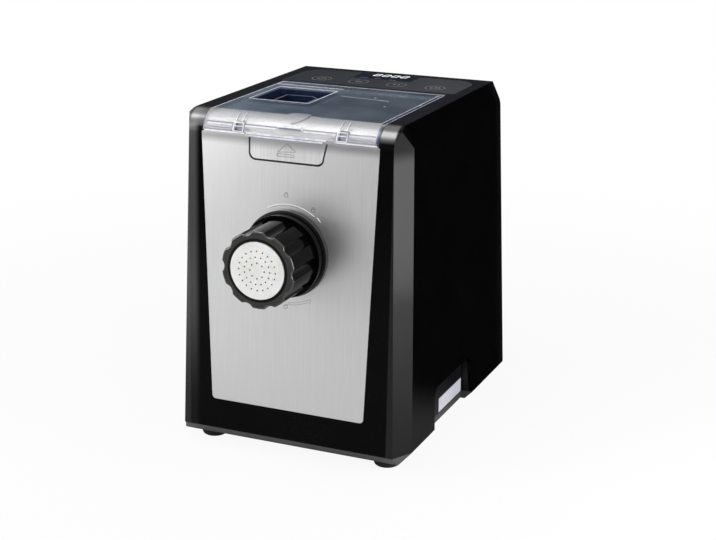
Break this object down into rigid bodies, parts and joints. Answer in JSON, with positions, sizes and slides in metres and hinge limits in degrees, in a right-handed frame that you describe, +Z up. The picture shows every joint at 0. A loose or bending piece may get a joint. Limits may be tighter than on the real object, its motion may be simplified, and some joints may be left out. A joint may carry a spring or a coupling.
{
  "type": "electric pasta maker",
  "caption": "Upright electric pasta maker: mixing chamber under a hinged clear lid, fluted locking nut with a round shaping die on the front, touch panel on top.",
  "frame": {"origin": "on the floor, at the middle of the bottom of the bounding box", "axes": "+Z up; the die and the front face -Y; +X to the right of someone facing the front"},
  "size_m": [0.2092, 0.3004, 0.284],
  "materials": {
    "black_housing": "satin moulded black",
    "side_black": "gloss moulded black",
    "brushed_sheet": "vertically brushed",
    "panel_glass": "smoked gloss panel",
    "lens": "dark tinted digit block",
    "circuit_board": "green coated laminate",
    "pad_rubber": "conductive foam rubber",
    "bay_plastic": "matt dark grey",
    "chamber_plastic": "clear grey moulding",
    "barrel_plastic": "satin dark grey",
    "seal_rubber": "moulded silicone",
    "base_plastic": "matt dark grey",
    "foot_rubber": "matt black",
    "zinc_screw": "zinc plated",
    "black_screw": "blackened",
    "blank_label": "blank satin foil",
    "pin_steel": "ground bright",
    "switch_body": "matt black",
    "case_aluminium": "die cast",
    "bronze_bush": "sintered bronze",
    "stator_steel": "stacked laminations",
    "copper_coil": "enamelled copper",
    "bracket_steel": "pressed steel",
    "capacitor_can": "plain can",
    "clear_cover": "clear moulding",
    "key_silver": "silver moulding",
    "slider_plastic": "low friction moulding",
    "spring_steel": "bright wire",
    "die_plastic": "ivory food moulding",
    "nut_plastic": "satin black",
    "shaft_steel": "turned",
    "gear_nylon": "natural nylon",
    "food_plastic": "white food moulding",
    "pinion_brass": "cut brass",
    "fan_plastic": "blue moulding"
  },
  "bodies": {
    "machine": {"front_frame": "black_housing", "left_side_panel": "side_black", "right_side_panel": "side_black", "rear_cover": "black_housing", "top_deck": "black_housing", "steel_panel": "brushed_sheet", "touch_panel": "panel_glass", "display_block": "lens", "control_board": "circuit_board", "touch_pads": "pad_rubber", "chamber_bay": "bay_plastic", "mixing_chamber": "chamber_plastic", "extrusion_barrel": "barrel_plastic", "shaft_seal": "seal_rubber", "base_pan": "base_plastic", "rubber_feet": "foot_rubber", "foot_screws": "zinc_screw", "cover_screws": "black_screw", "grip_cups": "bay_plastic", "rating_plate": "blank_label", "cord_grommet": "foot_rubber", "lid_hinge_pins": "pin_steel", "lid_switch": "switch_body", "gear_case": "case_aluminium", "gear_cover": "case_aluminium", "gear_screws": "zinc_screw", "shaft_bushes": "bronze_bush", "idler_pin": "pin_steel", "gear_mounts": "foot_rubber", "motor_stator": "stator_steel", "motor_coils": "copper_coil", "motor_front_bell": "case_aluminium", "motor_rear_bell": "case_aluminium", "motor_bearings": "pin_steel", "motor_screws": "zinc_screw", "motor_cradle": "bracket_steel", "run_capacitor": "capacitor_can", "power_board": "circuit_board", "key_springs": "spring_steel"},
    "lid": {"clear_lid": "clear_cover"},
    "key": {"release_key": "key_silver", "latch_slider": "slider_plastic"},
    "die": {"die_disc": "die_plastic"},
    "nut": {"locking_nut": "nut_plastic"},
    "mixing_shaft": {"drive_shaft": "shaft_steel", "output_gear": "gear_nylon", "auger_screw": "food_plastic", "mixing_paddle": "food_plastic"},
    "idler": {"idler_gear": "gear_nylon"},
    "rotor": {"motor_rotor": "stator_steel", "motor_shaft": "shaft_steel", "motor_pinion": "pinion_brass", "cooling_fan": "fan_plastic"}
  },
  "joints": [
    {"name": "lid_hinge", "type": "hinge", "parent": "machine", "child": "lid", "pos_m": [0, 0.05595, 0.2808], "axis": [-1, 0, 0], "range_deg": [0, 95]},
    {"name": "key_press", "type": "slide", "parent": "machine", "child": "key", "axis": [0, 1, 0], "range_m": [0, 0.003], "stiffness_N_per_m": 500, "springref_m": -0.004, "deforming": ["key_springs"]},
    {"name": "die_pull", "type": "slide", "parent": "machine", "child": "die", "axis": [0, -1, 0], "range_m": [0, 0.07]},
    {"name": "nut_turn", "type": "hinge", "parent": "die", "child": "nut", "pos_m": [0, -0.10285, 0.1764], "axis": [0, 1, 0], "range_deg": [0, 36]},
    {"name": "shaft_spin", "type": "hinge", "parent": "machine", "child": "mixing_shaft", "pos_m": [0, 0, 0.1764], "axis": [0, 1, 0], "continuous": true},
    {"name": "idler_spin", "type": "hinge", "parent": "machine", "child": "idler", "pos_m": [0.0103, 0, 0.11323], "axis": [0, 1, 0], "continuous": true},
    {"name": "motor_spin", "type": "hinge", "parent": "machine", "child": "rotor", "pos_m": [0, 0, 0.072], "axis": [0, 1, 0], "continuous": true}
  ],
  "couplings": [
    {"joint": "idler_spin", "follows": "shaft_spin", "ratio": -4.3333},
    {"joint": "motor_spin", "follows": "shaft_spin", "ratio": 16.714}
  ]
}
